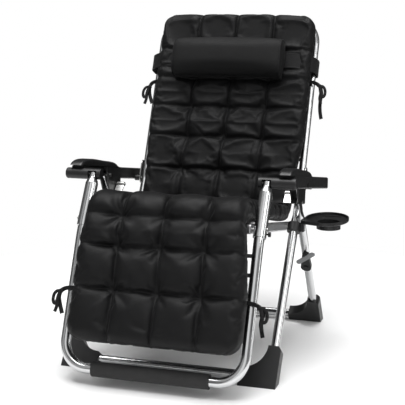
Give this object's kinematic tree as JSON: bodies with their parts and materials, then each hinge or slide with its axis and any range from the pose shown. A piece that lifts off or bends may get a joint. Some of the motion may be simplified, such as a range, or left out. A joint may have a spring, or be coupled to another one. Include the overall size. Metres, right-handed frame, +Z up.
{
  "type": "zero gravity recliner",
  "caption": "Folding tube-frame recliner with tufted pads, sliding pillow, hinged leg rest, lock levers and a swivelling side tray.",
  "frame": {"origin": "on the floor, on the plane of symmetry, between the front and rear legs", "axes": "+Z up, -Y the way the sitter faces, +X to the sitter's left"},
  "size_m": [0.864, 1.0367, 1.1156],
  "materials": {
    "tube_silver": "satin silver coat",
    "arm_steel": "satin",
    "black_plastic": "matte",
    "steel": "zinc plated",
    "clip_grey": "matte",
    "foam": "closed cell foam",
    "sling_mesh": "coated mesh",
    "elastic": "braided sleeve",
    "cushion_cloth": "woven polyester"
  },
  "bodies": {
    "frame": {"rear_leg_frame": "tube_silver", "rear_foot_left": "black_plastic", "rear_foot_right": "black_plastic", "arm_beam_left": "arm_steel", "arm_beam_right": "arm_steel", "arm_roll_left": "black_plastic", "arm_roll_right": "black_plastic", "arm_pad_left": "black_plastic", "arm_pad_right": "black_plastic", "arm_cap_left": "black_plastic", "arm_cap_right": "black_plastic", "arm_rivets": "steel", "leg_pivots": "steel", "front_hinge_pins": "steel", "back_hinge_pins": "steel", "back_hinge_spacers": "black_plastic", "lever_pins": "steel", "leg_clip": "black_plastic", "clip_band": "clip_grey"},
    "front_legs": {"front_leg_frame": "tube_silver", "front_foot_left": "black_plastic", "front_foot_right": "black_plastic", "tray_clamp": "black_plastic", "tray_pin": "steel"},
    "tray": {"side_tray": "black_plastic"},
    "back": {"back_tube": "tube_silver", "back_tube_plugs": "black_plastic", "back_hinge_plates": "steel", "back_sling": "sling_mesh", "back_tabs": "elastic", "back_cushion": "cushion_cloth", "tie_back_right": "cushion_cloth", "tie_back_left": "cushion_cloth"},
    "headrest": {"head_pillow": "cushion_cloth", "pillow_strap": "cushion_cloth"},
    "seat": {"seat_rail_left": "tube_silver", "seat_rail_right": "tube_silver", "seat_cross_bars": "tube_silver", "rail_knobs": "black_plastic", "seat_front_pins": "steel", "seat_rear_pins": "steel", "seat_sling": "sling_mesh", "seat_tabs": "elastic", "seat_cushion": "cushion_cloth"},
    "leg_rest": {"leg_rest_tube": "tube_silver", "leg_rest_sleeves": "tube_silver", "foot_pad": "foam", "leg_sling": "sling_mesh", "leg_tabs": "elastic", "leg_cushion": "cushion_cloth", "tie_leg_right": "cushion_cloth", "tie_leg_left": "cushion_cloth"},
    "lever_left": {"lock_lever_left": "steel"},
    "lever_right": {"lock_lever_right": "steel"}
  },
  "joints": [
    {"name": "base_fold", "type": "hinge", "parent": "frame", "child": "front_legs", "pos_m": [0, -0.003, 0.498], "axis": [1, 0, 0], "range_deg": [0, 38]},
    {"name": "tray_swivel", "type": "hinge", "parent": "front_legs", "child": "tray", "pos_m": [0.355, -0.044, 0.43], "axis": [0, 0, 1], "range_deg": [-45, 0]},
    {"name": "recline", "type": "hinge", "parent": "frame", "child": "back", "pos_m": [0, 0.218, 0.512], "axis": [-1, 0, 0], "range_deg": [0, 45]},
    {"name": "pillow_slide", "type": "slide", "parent": "back", "child": "headrest", "axis": [0, 0.4067, 0.9135], "range_m": [-0.01, 0.05]},
    {"name": "seat_hinge", "type": "hinge", "parent": "back", "child": "seat", "pos_m": [0, 0.14074, 0.38343], "axis": [-1, 0, 0], "range_deg": [-45, 0]},
    {"name": "leg_rest_hinge", "type": "hinge", "parent": "seat", "child": "leg_rest", "pos_m": [0, -0.32526, 0.46942], "axis": [-1, 0, 0], "range_deg": [0, 45]},
    {"name": "lock_left", "type": "hinge", "parent": "frame", "child": "lever_left", "pos_m": [-0.297, 0.008, 0.524], "axis": [1, 0, 0], "range_deg": [0, 35]},
    {"name": "lock_right", "type": "hinge", "parent": "frame", "child": "lever_right", "pos_m": [0.297, 0.008, 0.524], "axis": [1, 0, 0], "range_deg": [0, 35]}
  ],
  "couplings": [
    {"joint": "seat_hinge", "follows": "recline", "ratio": -1},
    {"joint": "leg_rest_hinge", "follows": "recline", "ratio": 1}
  ]
}
